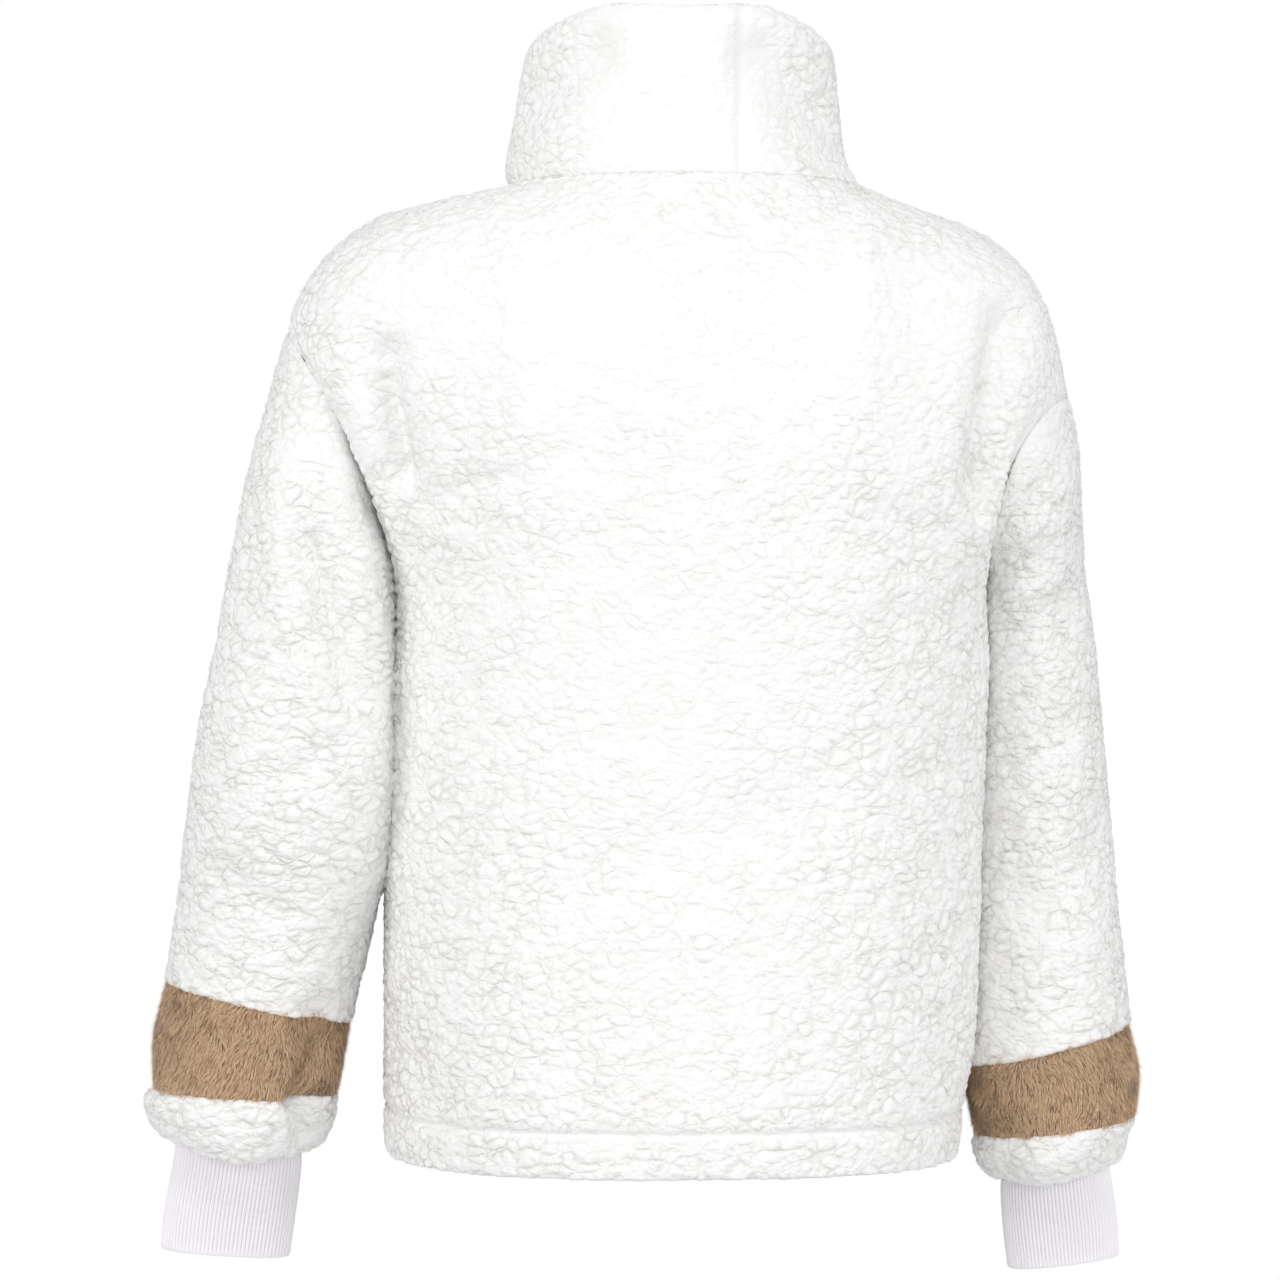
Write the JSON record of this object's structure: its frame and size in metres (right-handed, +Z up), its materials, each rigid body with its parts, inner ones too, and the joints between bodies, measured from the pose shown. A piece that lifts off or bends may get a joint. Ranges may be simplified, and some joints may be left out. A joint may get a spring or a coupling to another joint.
{
  "type": "pullover",
  "caption": "Hollow worn-form pullover of curly pile fleece with a funnel collar, dropped shoulders, tan fur bands on the sleeves and narrow rib cuffs.",
  "frame": {"origin": "middle of the neck seam, level with its back, where the wearer's neck and shoulders hold the garment up", "axes": "+Z up; the wearer's front faces -Y and the back, which the picture shows, faces +Y; +X is the wearer's left"},
  "size_m": [0.58, 0.2478, 0.726],
  "materials": {
    "fleece": "off-white curly pile, matt with a soft nap",
    "fur": "tan plush fur with a brushed nap and a soft sheen",
    "rib_knit": "white fine rib knit, matt"
  },
  "bodies": {
    "root": {"back_panel": "fleece", "front_panel": "fleece", "collar": "fleece", "sleeve_left": "fleece", "sleeve_right": "fleece", "sleeve_end_left": "fleece", "sleeve_end_right": "fleece", "fur_band_left": "fur", "fur_band_right": "fur", "cuff_left": "rib_knit", "cuff_right": "rib_knit"}
  },
  "joints": []
}
